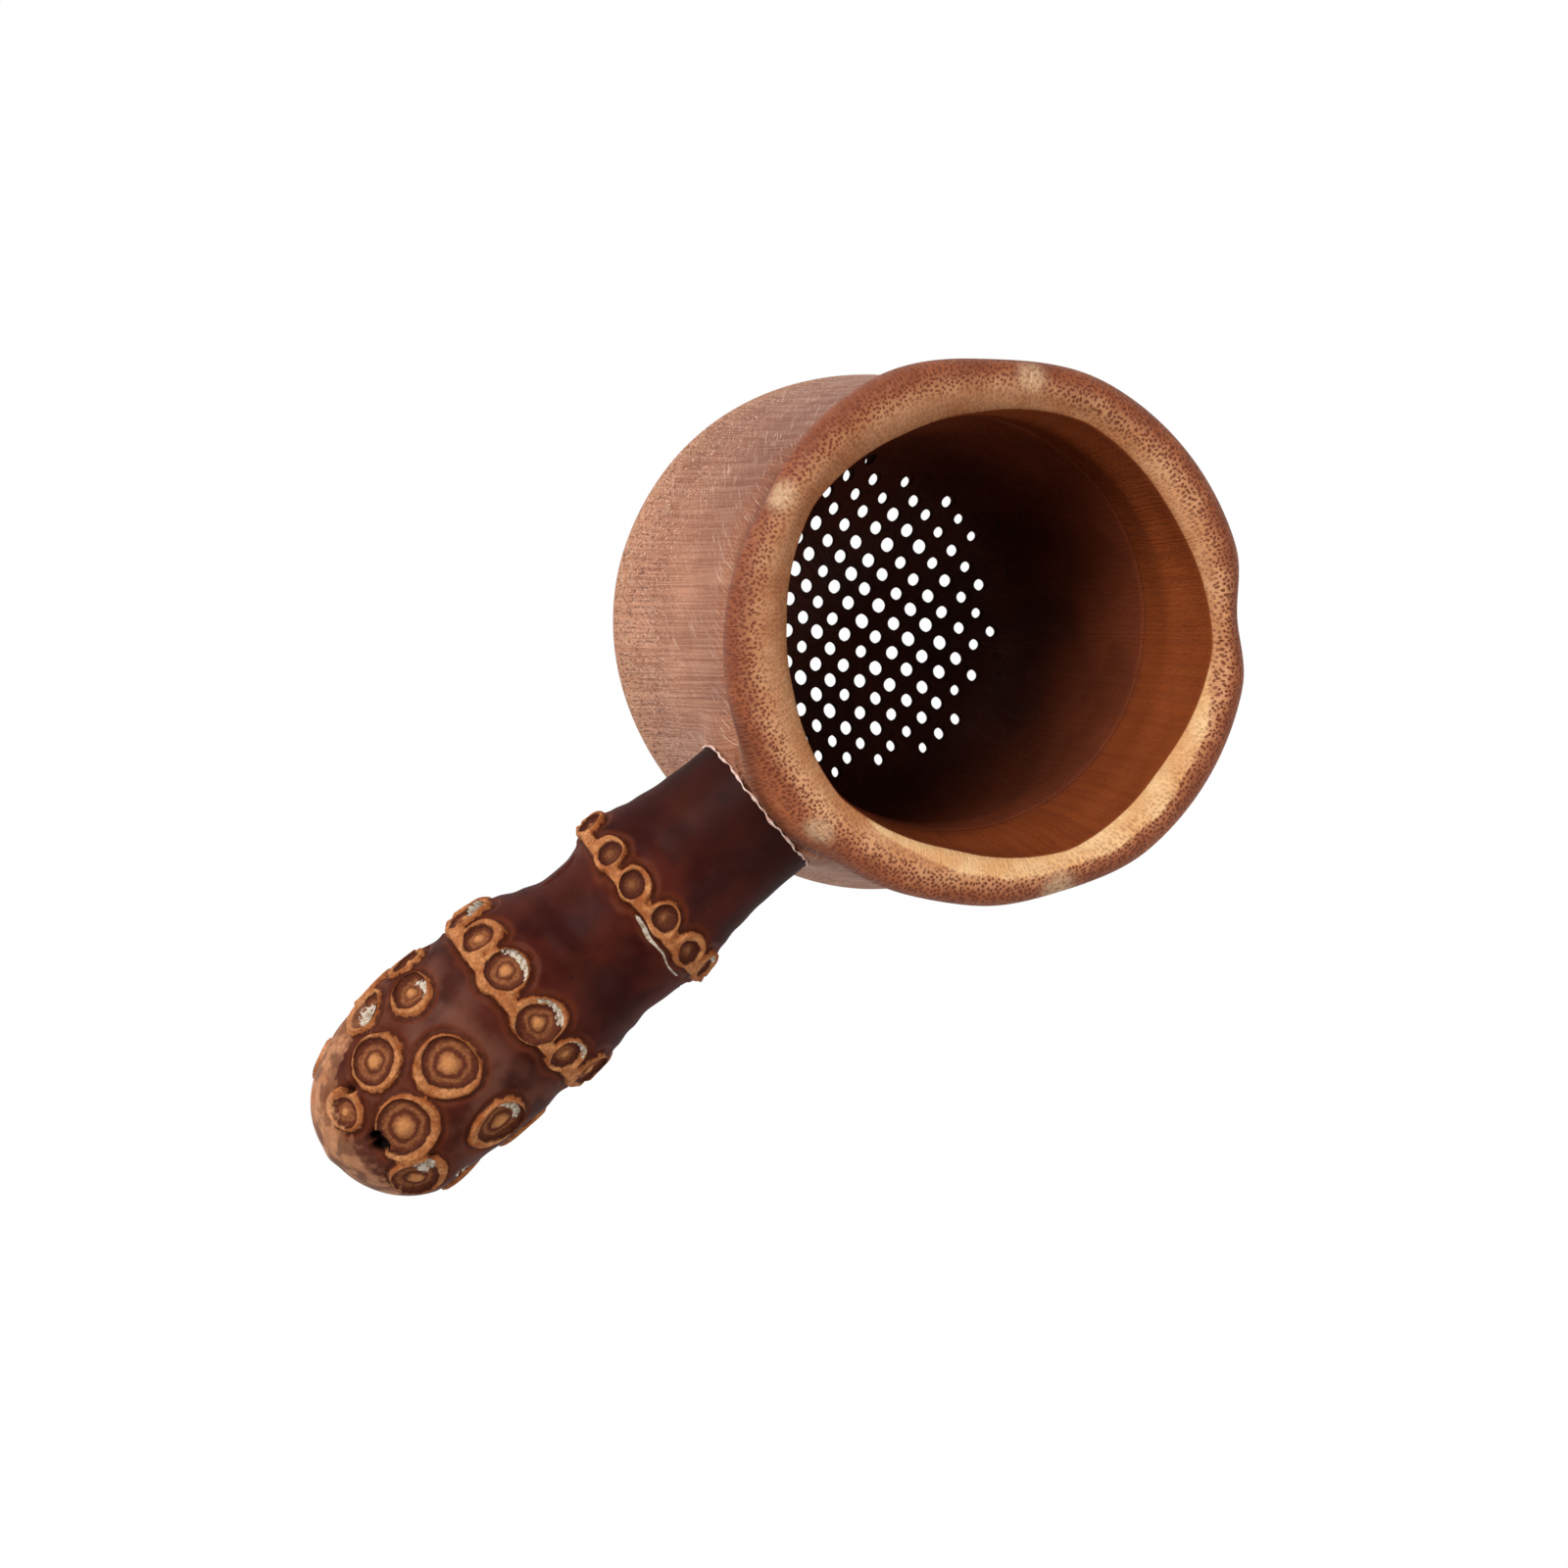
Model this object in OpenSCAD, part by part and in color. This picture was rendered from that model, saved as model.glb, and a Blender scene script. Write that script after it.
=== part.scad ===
// Bamboo tea strainer: a cup turned from a thick bamboo root stock, with the
// root's own cross wall left in as a drilled, dished strainer floor, and a
// handle of bamboo rhizome that is coped to the cup, doweled and glued.
// Millimetres, +Z up along the cup's axis. The origin is the middle of the
// foot, on the table, and the handle points along +X.

/* [Cup] */
// Height from the foot to the mouth
cup_h = 60; // [54:1:72]
// Mean outer radius of the rounded lip
lip_r = 32.6; // [31.6:0.1:34]
// Height of the rounded lip band
lip_h = 7; // [5:0.5:9]
// How far the lip's upper and lower edges round in from that radius
lip_round = 2.4; // [1.5:0.1:3]
// Outer radius of the wall just under the lip
waist_r = 30.9; // [30:0.1:32]
// Largest outer radius, low on the wall
belly_r = 34.2; // [33:0.1:37]
// Height of the largest radius above the foot
belly_z = 10; // [8:0.5:16]
// Outer radius of the ring that the cup stands on
foot_r = 27; // [26:0.5:29]
// Inner radius of that ring
foot_in_r = 24; // [21:0.1:24.5]
// Radius of the bored mouth
bore_r = 25.5; // [21:0.1:27]
// Depth of the boring, from the mouth down to its faint step
bore_depth = 21; // [15:1:32]
// Radius of the natural cavity just under that step
cavity_r = 24.6; // [23.5:0.1:24.9]
// Width of the chamfer inside the mouth
mouth_chamfer = 1.6; // [0.5:0.1:3]

/* [Petals of the lip] */
// Number of petals
petal_count = 5; // [3:1:8]
// Depth of the notch between two petals
notch_depth = 1.1; // [0.5:0.1:1.6]
// Turn of the notches against the handle
petal_turn = 3; // [-36:1:36]
// Radius of the file that cuts a notch
notch_r = 7; // [4:0.5:12]

/* [Strainer floor] */
// Height of the dish's lowest point, inside, above the foot
dish_z = 6; // [4:0.5:10]
// Radius of curvature of the dish
dish_curve = 29.2; // [27:0.2:34]
// Thickness of the floor in the middle
floor_t = 1; // [0.8:0.1:2]
// How far the dish sits off the cup's axis, towards the handle
dish_off_x = 1.7; // [-2:0.1:2]
// How far the dish sits off the cup's axis, sideways
dish_off_y = -3.7; // [-4:0.1:4]
// Diameter of the drilled holes
hole_d = 1.9; // [1.4:0.05:2.2]
// Distance between the holes of a row, and between the rows
hole_pitch = 2.87; // [2.7:0.05:4]
// Radius of the drilled field
field_r = 20.4; // [12:0.2:21]
// Floor left between the outermost holes and the foot ring
field_edge = 0.4; // [0.2:0.1:4]
// Turn of the rows against the handle
field_turn = 1; // [0:1:90]

/* [Handle] */
// Height of the joint's centre above the foot
joint_z = 45.5; // [38:0.5:47]
// Droop of the handle below the horizontal, in degrees
droop = 9; // [0:1:15]
// Length of the handle from the cup's wall to the tip
handle_len = 64; // [55:1:80]
// Diameter of the neck beside the cup
neck_d = 18; // [14:0.2:19]
// Distance of the first node ring from the cup's wall
ring1_at = 17.5; // [14:0.5:22]
// Diameter over the first node ring
ring1_d = 22.8; // [20:0.2:24]
// Diameter of the stretch between the rings
internode_d = 20; // [17:0.2:21]
// Distance of the second node ring from the cup's wall
ring2_at = 34; // [31:0.5:40]
// Diameter over the second node ring
ring2_d = 24.6; // [24.4:0.2:26]
// Diameter of the knobbly end
bulb_d = 24; // [22:0.2:24.4]

/* [Joint] */
// Diameter of the hidden bamboo dowel
dowel_d = 5; // [3:0.5:6]
// Clearance between the dowel and its hole, on the radius
dowel_gap = 0.1; // [0.05:0.01:0.2]
// Length of the dowel inside the handle
dowel_in_handle = 12; // [8:1:15]
// Length of the dowel inside the cup's wall
dowel_in_wall = 3.6; // [2:0.1:4]
// Depth of each dowel hole past the dowel's end
dowel_relief = 0.4; // [0.2:0.1:0.8]
// Thickness of the glue between the cup and the handle
glue_t = 0.3; // [0.2:0.05:0.5]
// How far the squeezed-out glue stands proud of the neck
glue_bead = 0.35; // [0.2:0.05:0.6]

/* [Hidden] */

$fn = 64;
belly_steps = 7;
wall_steps = 4;
lip_steps = 6;
dish_steps = 7;
hole_fn = 16;
over = 1;
wall_curve = 1.6;                     // power of the wall's taper from the belly to the lip
floor_swell = 0.9;                    // how much thicker the floor gets out at the foot ring
step_h = 0.6;                         // height of the faint step under the boring
tip_share = 0.54;                     // length of the rounded tip, as a share of its diameter

lip_z = cup_h - lip_h;
cavity_top_z = cup_h - bore_depth;
wall_start = 33;                      // where the handle's axis is measured from

// Inside of the floor: height of the dish at a radius
function dish_at(r) = dish_z + dish_curve - sqrt(pow(dish_curve, 2) - r * r);

// Underside of the floor: it is as thick as floor_t in the middle and thickens outward
function under_at(r) = dish_at(r) - floor_t * (1 + floor_swell * pow(r / foot_in_r, 2));

// Outer radius of the wall at a height between the belly and the lip
function wall_at(z) = waist_r
    + (belly_r - waist_r) * pow((lip_z - z) / (lip_z - belly_z), wall_curve);

// Outer outline from the foot up to the mouth, as [radius, height]
function belly_pts() = [for (i = [0 : belly_steps])
    let (a = 90 * i / belly_steps)
    [foot_r + (belly_r - foot_r) * sin(a), belly_z * (1 - cos(a))]];
function wall_pts() = [for (i = [1 : wall_steps])
    let (z = belly_z + (lip_z - belly_z) * i / wall_steps)
    [wall_at(z), z]];
function lip_pts() = [for (i = [0 : lip_steps])
    let (a = -65 + 155 * i / lip_steps)
    [lip_r - lip_round * (1 - cos(a)), lip_z + lip_h / 2 * (1 + sin(a))]];
function outer_pts() = concat(belly_pts(), wall_pts(), lip_pts());

module outer_body(grow) {
    rotate_extrude($fn = 96)
        polygon(concat([[0, 0]], [for (p = outer_pts()) [p[0] + grow, p[1]]],
                       [[0, cup_h]]));
}

// The bowl that the root's cross wall grew into, as wide as it has to be
module bowl(low) {
    bowl_r = dish_curve * 0.97;
    translate([dish_off_x, dish_off_y, 0])
        rotate_extrude($fn = 96)
            polygon(concat([for (i = [0 : dish_steps])
                                let (r = bowl_r * sin(90 * i / dish_steps))
                                [r, low ? under_at(r) : dish_at(r)]],
                           [[bowl_r, cup_h], [0, cup_h]]));
}

// The hollow of the cup: boring and mouth chamfer, then the natural cavity and its dish
module hollow() {
    rotate_extrude($fn = 96)
        polygon([[0, cavity_top_z], [cavity_r, cavity_top_z], [bore_r, cavity_top_z + step_h],
                 [bore_r, cup_h - mouth_chamfer], [bore_r + mouth_chamfer, cup_h],
                 [bore_r + mouth_chamfer, cup_h + over], [0, cup_h + over]]);
    intersection() {
        cylinder(r = cavity_r, h = cavity_top_z + over);
        bowl(false);
    }
}

// The recess under the strainer floor, inside the foot ring
module foot_recess() {
    difference() {
        translate([0, 0, -over])
            cylinder(r = foot_in_r, h = dish_at(0) + 2 * belly_z);
        bowl(true);
    }
}

// Places of the drilled holes: a square net, centred on the dish, inside the foot ring
module at_holes() {
    n = ceil(field_r / hole_pitch);
    for (i = [-n : n], j = [-n : n]) {
        in_dish = [i * cos(field_turn) - j * sin(field_turn),
                   i * sin(field_turn) + j * cos(field_turn)] * hole_pitch;
        in_cup = in_dish + [dish_off_x, dish_off_y];
        if (norm(in_dish) < field_r && norm(in_cup) < foot_in_r - hole_d / 2 - field_edge)
            translate([in_cup[0], in_cup[1], 0]) children();
    }
}

module petal_notches() {
    for (i = [0 : petal_count - 1])
        rotate([0, 0, petal_turn + 360 * i / petal_count])
            translate([lip_r + notch_r - notch_depth, 0, lip_z])
                cylinder(r = notch_r, h = lip_h + over, $fn = 48);
}

// Stands its children on the handle's axis, at the wall, pointing outward
module along_handle() {
    translate([wall_start, 0, joint_z])
        rotate([0, 90 + droop, 0])
            children();
}

// Where the handle's axis comes out of the wall, along the axis
wall_edge = (wall_at(joint_z) - wall_start) / cos(droop);

module dowel_hole() {
    along_handle()
        translate([0, 0, wall_edge - dowel_in_wall - dowel_relief])
            cylinder(d = dowel_d + 2 * dowel_gap,
                     h = dowel_in_wall + dowel_in_handle + 2 * dowel_relief);
}

module cup() {
    color("#b98a70")
        difference() {
            outer_body(0);
            hollow();
            foot_recess();
            petal_notches();
            dowel_hole();
            at_holes() cylinder(d = hole_d, h = cup_h / 2, $fn = hole_fn);
        }
}

// Outline of the rhizome, as [radius, distance from the wall]
function ring_pts(at, d, before, after) = [
    [before / 2 + 0.1 * (d - before), at - 4.2],
    [before / 2 + 0.3 * (d - before), at - 2.4],
    [d / 2 - 0.2, at - 1],
    [d / 2, at],
    [d / 2 - 0.2, at + 1],
    [after / 2 + 0.22 * (d - after), at + 2.6]];
function tip_pts() = [for (i = [0 : 6])
    let (a = 90 * i / 6, round = bulb_d * tip_share)
    [bulb_d / 2 * pow(cos(a), 0.85), handle_len - round + round * sin(a)]];
function handle_pts() = concat(
    [[neck_d / 2, -2 * neck_d / 3]],
    [[neck_d / 2, 4]],
    ring_pts(ring1_at, ring1_d, neck_d + 1.6, internode_d),
    [[internode_d / 2, (ring1_at + ring2_at) / 2]],
    ring_pts(ring2_at, ring2_d, internode_d, bulb_d - 1.6),
    [[bulb_d / 2 - 0.6, ring2_at + 6]],
    tip_pts());

module rhizome(grow) {
    along_handle()
        rotate_extrude($fn = 64)
            polygon(concat([[0, -2 * neck_d / 3]],
                           [for (p = handle_pts()) [max(0, p[0] + grow), p[1]]],
                           [[0, handle_len]]));
}

module handle() {
    color("#4a2020")
        difference() {
            rhizome(0);
            outer_body(glue_t);
            dowel_hole();
        }
}

module handle_dowel() {
    color("#d9b98a")
        along_handle()
            translate([0, 0, wall_edge - dowel_in_wall])
                cylinder(d = dowel_d, h = dowel_in_wall + dowel_in_handle);
}

module glue_seam() {
    color("#d8b8a0")
        difference() {
            intersection() {
                along_handle()
                    translate([0, 0, -neck_d / 2])
                        cylinder(d = neck_d + 2 * glue_bead, h = neck_d);
                outer_body(glue_t);
            }
            outer_body(0);
            dowel_hole();
        }
}

cup();
handle();
handle_dowel();
glue_seam();
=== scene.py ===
# %% [markdown]
# # A bamboo tea strainer
#
# The strainer is two pieces of bamboo. The cup is turned from the thick stock
# just above the root, and its floor is the stock's own cross wall, drilled
# into a strainer. The handle is a length of rhizome, the creeping root, with
# the round scars of the rootlets still on it. A hidden dowel and a thin line of
# glue hold the two together.
#
# This lesson loads the construction model first. It is the frame: the new
# pieces are built around it, in metres, and stay inside its box.

import math
import random

import bpy
import bmesh
from mathutils import Matrix, Vector


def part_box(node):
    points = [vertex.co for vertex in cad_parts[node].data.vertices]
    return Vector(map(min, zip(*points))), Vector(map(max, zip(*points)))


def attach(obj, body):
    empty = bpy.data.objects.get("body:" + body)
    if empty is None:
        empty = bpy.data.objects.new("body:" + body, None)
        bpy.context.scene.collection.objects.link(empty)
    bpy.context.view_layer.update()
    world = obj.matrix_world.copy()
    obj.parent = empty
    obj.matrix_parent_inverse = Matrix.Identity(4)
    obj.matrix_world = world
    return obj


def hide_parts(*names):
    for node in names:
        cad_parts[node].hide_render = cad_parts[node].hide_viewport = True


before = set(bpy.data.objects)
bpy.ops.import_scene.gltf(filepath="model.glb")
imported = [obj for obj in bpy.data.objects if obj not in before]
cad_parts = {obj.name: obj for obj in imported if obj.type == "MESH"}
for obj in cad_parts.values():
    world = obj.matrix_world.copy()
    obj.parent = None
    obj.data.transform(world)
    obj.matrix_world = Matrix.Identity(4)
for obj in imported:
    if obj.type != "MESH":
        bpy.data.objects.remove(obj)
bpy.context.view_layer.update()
print("the frame's nodes:", sorted(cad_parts))

# %% [markdown]
# ## Sizes
#
# The overall sizes are read from the frame's boxes. The sizes that a box can't
# tell, such as the bore or the dish, repeat the construction's own values. One
# millimetre is a thousandth of Blender's unit, so `MM` keeps them readable.

# %% Driving sizes
MM = 0.001
cup_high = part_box("cup")[1]

CUP_H = cup_high.z
BELLY_R = cup_high.y
BELLY_Z = 10 * MM
LIP_R = 32.6 * MM
LIP_H = 7 * MM
LIP_ROUND = 2.6 * MM
LIP_Z = CUP_H - LIP_H
WAIST_R = 30.9 * MM
FOOT_R = 27 * MM
FOOT_IN_R = 24 * MM
BORE_R = 25.5 * MM
CAVITY_R = 24.6 * MM
STEP_Z = CUP_H - 21 * MM

DISH_Z = 6 * MM
DISH_CURVE = 29.2 * MM
FLOOR_T = 1 * MM
FLOOR_SWELL = 0.9
WALL_CURVE = 1.6
DISH_OFF = Vector((1.7, -3.7, 0)) * MM

HOLE_D = 1.9 * MM
HOLE_PITCH = 2.87 * MM
FIELD_R = 20.4 * MM
FIELD_EDGE = 0.4 * MM
FIELD_TURN = math.radians(1)

JOINT = Vector((33, 0, 45.5)) * MM
DROOP = math.radians(9)
NECK_R = 9 * MM
BOSS_R = 33.2 * MM
GLUE_T = 0.3 * MM

print("cup", round(CUP_H / MM, 1), "mm high,", round(2 * BELLY_R / MM, 1), "mm across")

# %% [markdown]
# ## The studio
#
# The camera comes first. It looks down into the cup from the handle's side,
# rolled so that the handle points to the lower left. A long lens from about
# 35 cm keeps the perspective gentle.

# %% Camera
AIM = Vector((26.49, 1.83, 38.14)) * MM
CAMERA_AT = Vector((87.0, -73.15, 379.63)) * MM
CAMERA_ROLL = math.radians(101.16)
LENS = 67.5


def place_camera():
    """Stand the camera at CAMERA_AT, turn it to AIM and roll it about its own axis."""
    data = bpy.data.cameras.new("camera")
    data.lens = LENS
    data.sensor_width = 36
    data.clip_start = 0.01
    camera = bpy.data.objects.new("camera", data)
    bpy.context.scene.collection.objects.link(camera)
    camera.location = CAMERA_AT
    turn = (AIM - CAMERA_AT).to_track_quat("-Z", "Y").to_matrix()
    camera.rotation_euler = (turn @ Matrix.Rotation(CAMERA_ROLL, 3, "Z")).to_euler()
    bpy.context.scene.camera = camera
    return camera


camera = place_camera()
print("camera", [round(v / MM) for v in camera.location], "mm")

# %% [markdown]
# ## A few hand movements
#
# Every piece below is made with the same few moves: trace an outline vertex by
# vertex, spin it like a piece on a lathe, grab some vertices, and apply the
# modifiers. An operator acts on all that is selected, so each move starts by
# putting everything down.

# %% Helpers for modelling
def put_down():
    """Leave edit mode and deselect everything."""
    if bpy.context.object and bpy.context.object.mode != "OBJECT":
        bpy.ops.object.mode_set(mode="OBJECT")
    bpy.ops.object.select_all(action="DESELECT")


def take(piece):
    """Make one piece the only selected and active one."""
    put_down()
    piece.select_set(True)
    bpy.context.view_layer.objects.active = piece
    return piece


def edit(piece, kind="VERT"):
    """Open a piece in edit mode with nothing selected."""
    take(piece)
    bpy.ops.object.mode_set(mode="EDIT")
    bpy.ops.mesh.select_mode(type=kind)
    bpy.ops.mesh.select_all(action="DESELECT")


def pick(piece, test):
    """In edit mode, select the vertices whose place passes a test."""
    mesh = bmesh.from_edit_mesh(piece.data)
    picked = 0
    for vertex in mesh.verts:
        vertex.select = bool(test(vertex.co))
        picked += vertex.select
    mesh.select_flush_mode()
    bmesh.update_edit_mesh(piece.data)
    return picked


def tidy_mesh(piece, gap=0.01 * MM):
    """Merge doubled vertices and turn every face outward."""
    edit(piece)
    bpy.ops.mesh.select_all(action="SELECT")
    bpy.ops.mesh.remove_doubles(threshold=gap)
    bpy.ops.mesh.normals_make_consistent(inside=False)
    put_down()


def apply(piece, modifier):
    """Apply one modifier of a piece."""
    take(piece)
    bpy.ops.object.modifier_apply(modifier=modifier.name)


def round_off(piece):
    """Subdivide a piece once, smoothly, and apply it."""
    rounding = piece.modifiers.new("round", "SUBSURF")
    rounding.levels = 1
    rounding.render_levels = 1
    apply(piece, rounding)


def smooth_shade(piece, degrees=40):
    """Shade a piece smooth, and keep edges sharper than an angle crisp."""
    take(piece)
    bpy.ops.object.shade_smooth_by_angle(angle=math.radians(degrees))


def settle(piece):
    """Bake the piece's place into its mesh, so that its object sits at the origin."""
    take(piece)
    bpy.ops.object.transform_apply(location=True, rotation=True, scale=True)


def at_each(piece, rule):
    """A rule's value at every vertex, from the vertex's place."""
    return [rule(vertex.co) for vertex in piece.data.vertices]


def keep(piece, name, values):
    """Keep one number per vertex on the mesh, for the materials."""
    attribute = piece.data.attributes.new(name, "FLOAT", "POINT")
    attribute.data.foreach_set("value", values)


def press(piece, name, weights, depth):
    """Push vertices in along their normals, by the depth times each vertex's weight."""
    group = piece.vertex_groups.new(name=name)
    for index, weight in enumerate(weights):
        if weight > 0.001:
            group.add([index], min(weight, 1), "REPLACE")
    push = piece.modifiers.new("press " + name, "DISPLACE")
    push.vertex_group = name
    push.direction = "NORMAL"
    push.mid_level = 0
    push.strength = -depth
    apply(piece, push)


def trace(name, outline):
    """Draw an outline of (radius, height) points, one extruded vertex after the other."""
    put_down()
    bpy.ops.mesh.primitive_plane_add(size=MM, location=(0, 0, 0))
    piece = bpy.context.object
    piece.name = name
    bpy.ops.object.mode_set(mode="EDIT")
    bpy.ops.mesh.select_all(action="SELECT")
    bpy.ops.mesh.merge(type="CENTER")
    at = Vector((0, 0, 0))
    first = True
    for radius, height in outline:
        place = Vector((radius, 0, height))
        if first:
            bpy.ops.transform.translate(value=place - at)
            first = False
        else:
            bpy.ops.mesh.extrude_region_move(TRANSFORM_OT_translate={"value": place - at})
        at = place
    return piece


def turn_on_lathe(name, outline, steps):
    """Spin a traced outline once round the Z axis, and close its seam and poles."""
    piece = trace(name, outline)
    bpy.ops.mesh.select_all(action="SELECT")
    bpy.ops.mesh.spin(steps=steps, angle=2 * math.pi, center=(0, 0, 0), axis=(0, 0, 1))
    tidy_mesh(piece)
    return piece


def off_axis(place):
    """Distance of a place from the cup's axis."""
    return math.hypot(place.x, place.y)


def ease(low, high, value):
    """Go smoothly from 0 at low to 1 at high."""
    t = min(max((value - low) / (high - low), 0), 1)
    return t * t * (3 - 2 * t)


print("hand movements ready")

# %% [markdown]
# ## The cup
#
# On the real strainer the cup is one piece of bamboo on a lathe: turned
# outside, bored from the mouth down to the natural cavity, and dished
# underneath. It could be made by extruding a cylinder and insetting it, but a
# spun outline is what a lathe does, and it gives even rings of faces. The outline
# runs from the middle of the underside, round the foot, up the wall,
# over the lip, down the bore and back to the middle of the dish.

# %% The cup's outline
def dish_at(radius):
    """Height of the floor's upper face at a radius."""
    return DISH_Z + DISH_CURVE - math.sqrt(DISH_CURVE ** 2 - radius ** 2)


def under_at(radius):
    """Height of the floor's lower face: the floor thickens outward."""
    return dish_at(radius) - FLOOR_T * (1 + FLOOR_SWELL * (radius / FOOT_IN_R) ** 2)


def wall_at(height):
    """Outer radius of the wall between the belly and the lip."""
    rise = (LIP_Z - height) / (LIP_Z - BELLY_Z)
    return WAIST_R + (BELLY_R - WAIST_R) * rise ** WALL_CURVE


def cup_outline():
    """The cup's whole section, as (radius, height) points."""
    line = [(r * MM, under_at(r * MM)) for r in range(0, 21)]
    line += [(21.6 * MM, 13.4 * MM), (23 * MM, 14.2 * MM), (FOOT_IN_R - 0.2 * MM, 13 * MM)]
    line += [(FOOT_IN_R, z * MM) for z in (10.5, 7.5, 4.5, 1.6)]
    line += [(FOOT_IN_R + 0.15 * MM, 0.5 * MM), (FOOT_IN_R + 0.6 * MM, 0.05 * MM)]
    for step in range(0, 15):
        angle = math.radians(90 * step / 14)
        line.append((FOOT_R + (BELLY_R - FOOT_R) * math.sin(angle),
                     BELLY_Z * (1 - math.cos(angle))))
    for step in range(1, 23):
        height = BELLY_Z + (LIP_Z - 0.6 * MM - BELLY_Z) * step / 22
        line.append((wall_at(height), height))
    for step in range(0, 16):
        angle = math.radians(-72 + 162 * step / 15)
        line.append((LIP_R - LIP_ROUND * (1 - math.cos(angle)),
                     LIP_Z + LIP_H / 2 * (1 + math.sin(angle))))
    line += [(28.6 * MM, CUP_H - 0.05 * MM), (27.6 * MM, CUP_H - 0.3 * MM)]
    line += [(26.6 * MM, CUP_H - 0.9 * MM), (25.8 * MM, CUP_H - 1.6 * MM)]
    line += [(BORE_R, CUP_H - 2.4 * MM)]
    for step in range(1, 14):
        line.append((BORE_R, CUP_H - 2.4 * MM + (STEP_Z + 3 * MM - CUP_H) * step / 13))
    line += [(BORE_R - 0.15 * MM, STEP_Z + 1.5 * MM), (BORE_R - 0.5 * MM, STEP_Z - 1.2 * MM)]
    line += [(CAVITY_R, z * MM) for z in (35, 33, 31.2, 29.2)]
    line += [(24.5 * MM, 27 * MM), (24.2 * MM, 24.4 * MM), (23.7 * MM, 21.8 * MM)]
    line += [(22.9 * MM, 19.2 * MM), (21.8 * MM, 16.9 * MM), (20.6 * MM, 15 * MM)]
    line += [(r / 2 * MM, dish_at(r / 2 * MM)) for r in range(39, -1, -2)]
    line += [(0, dish_at(0))]
    return line


outline = cup_outline()
cup = turn_on_lathe("turned_cup", outline, steps=144)
print("cup:", len(outline), "outline points,", len(cup.data.polygons), "faces")

# %% [markdown]
# ### Petals
#
# The lip is filed into five petals by hand, so no two notches are alike. A notch
# is (degrees from the handle, depth and half width in mm and degrees, where it
# starts on the lip's flank). Weighing the vertices and pressing them in
# along their normals does what the file does, and it keeps the rings of faces even.

# %% File the petals
NOTCHES = [(0, 1.6, 32, 2.3), (40, 0.9, 34, -1), (68, 0.8, 20, -1), (144, 1.3, 15, -1),
           (230, 1.0, 26, -1), (291, 0.6, 20, -1), (300, 1.6, 66, -1)]
DEEPEST = 2.6


def bump(centre, half, value):
    """1 at a centre, easing to 0 at half away from it."""
    return 1 - ease(0, half, abs(value - centre))


def degrees_round(place):
    """Degrees round the cup from the handle's direction, from 0 to 360."""
    return math.degrees(math.atan2(place.y, place.x)) % 360


def near_turn(turn, half, degrees):
    """A bump round the cup, which doesn't mind where the circle starts."""
    return bump(0, half, (degrees - turn + 180) % 360 - 180)


def notch_paint(place):
    """Depth of the filing as a share of DEEPEST: on the outer flank, fading below the lip."""
    degrees = degrees_round(place)
    flank = ease(27.5 * MM, 31 * MM, off_axis(place))
    depth = 0
    for turn, deep, half, start in NOTCHES:
        band = ease(LIP_Z + (start - 1.5) * MM, LIP_Z + (start + 2) * MM, place.z)
        depth += deep * near_turn(turn, half, degrees) * band
    return depth / DEEPEST * flank


press(cup, "petals", at_each(cup, notch_paint), DEEPEST * MM)
print("notches filed:", len(NOTCHES))

# %% [markdown]
# ### The scraped mouth
#
# The inner edge was scraped with a knife in long strokes, so it runs
# almost straight from notch to notch and turns a corner at each. The wall was
# also left a little flat on the side of the handle.

# %% Scrape the mouth, flatten the handle's side
CORNERS = [5, 70, 137, 207, 287]


def mouth_paint(place):
    """1 at the corners of the scraped edge, 0 between them."""
    radius = off_axis(place)
    if radius > 29 * MM or place.z < CUP_H - 9 * MM:
        return 0
    degrees = degrees_round(place)
    corner = max(1 - min(1, abs((degrees - turn + 180) % 360 - 180) / 30) for turn in CORNERS)
    fades = ease(CUP_H - 9 * MM, CUP_H - 3 * MM, place.z) * (1 - ease(27 * MM, 29 * MM, radius))
    return corner * fades


def flat_paint(place):
    """1 on the low wall beside the handle, and half as much on the far side."""
    if off_axis(place) < FOOT_R - 0.5 * MM:
        return 0
    degrees = degrees_round(place)
    flat = near_turn(5, 62, degrees) + 0.45 * near_turn(235, 45, degrees)
    return flat * (1 - ease(16 * MM, 34 * MM, place.z)) * ease(0, 2 * MM, place.z)


press(cup, "mouth", at_each(cup, mouth_paint), 1.1 * MM)
press(cup, "flat", at_each(cup, flat_paint), 1.3 * MM)
print("mouth scraped between", len(CORNERS), "corners")

# %% [markdown]
# ### A seat for the handle
#
# Where the handle is glued on, the wall was left a little thicker, so that the
# neck has a seat nearly as wide as itself. The wall is drawn out to one radius
# there, and eases back into the round a few millimetres beyond the neck.

# %% Draw the wall out to the handle's seat
SEAT_REACH = 2.4 * MM


def off_handle(place):
    """Distance of a place from the handle's axis."""
    axis = Vector((math.cos(DROOP), 0, -math.sin(DROOP)))
    away = place - JOINT
    return (away - axis * away.dot(axis)).length


def seat_paint(place):
    """The share of SEAT_REACH that is missing to the seat's radius, inside the neck's circle."""
    radius = off_axis(place)
    if place.x < 0 or radius < FOOT_R or place.z < BELLY_Z or place.z > CUP_H - 2 * MM:
        return 0
    missing = max(0, BOSS_R - radius) / SEAT_REACH
    return missing * (1 - ease(NECK_R - 0.5 * MM, NECK_R + 4 * MM, off_handle(place)))


press(cup, "seat", at_each(cup, seat_paint), -SEAT_REACH)
print("seat drawn out to", round(BOSS_R / MM, 1), "mm")

# %% [markdown]
# ### The hollow
#
# Nothing in a root grows in the middle. The dish of the cross wall, the natural
# cavity and the hand-bored mouth each sit a little to one side. Each is grabbed
# and pulled with soft falloff that runs along the skin, so that the outside of
# the wall stays where the lathe left it.

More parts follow.
